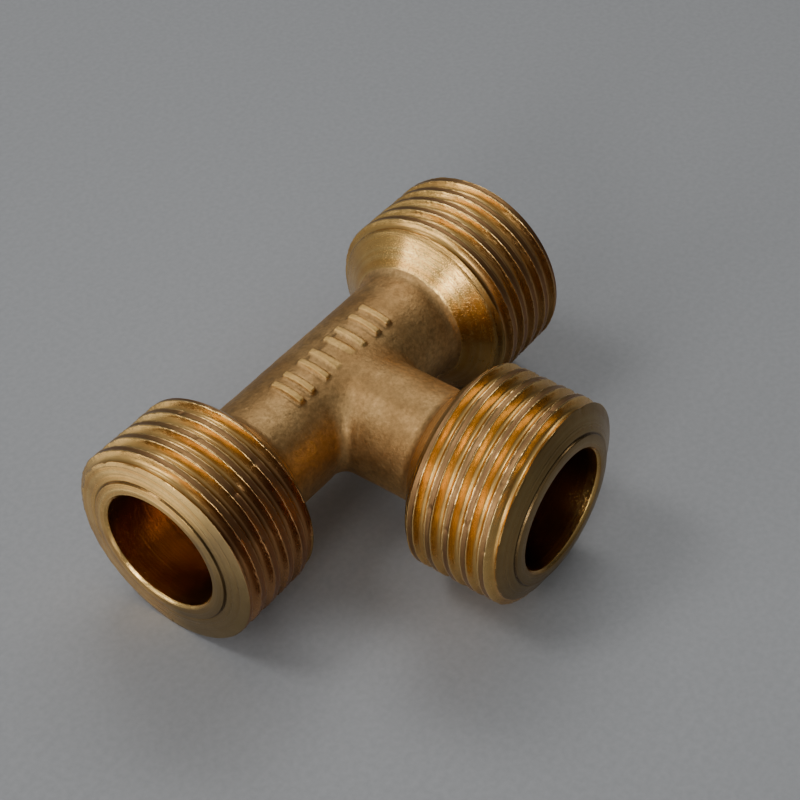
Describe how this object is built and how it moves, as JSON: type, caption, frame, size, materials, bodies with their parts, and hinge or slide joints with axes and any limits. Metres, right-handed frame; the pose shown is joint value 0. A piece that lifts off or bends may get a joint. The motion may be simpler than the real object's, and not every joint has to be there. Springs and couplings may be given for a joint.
{
  "type": "tee connector",
  "caption": "Brass tee fitting: a straight run and one side branch with male threaded ends, flat seal rings, counterbored tube mouths and a through bore.",
  "frame": {"origin": "the crossing point of the run axis and the branch axis", "axes": "+X along the run, -Y along the branch towards its open end, +Z square to both axes, up, on the side with the raised bars"},
  "size_m": [0.0394, 0.0288, 0.016],
  "materials": {
    "cast_brass": "matt cast skin, lightly tarnished",
    "machined_brass": "turned, satin to bright"
  },
  "bodies": {
    "root": {"forged_body": "cast_brass", "run_end_left": "machined_brass", "run_end_right": "machined_brass", "branch_end": "machined_brass"}
  },
  "joints": []
}
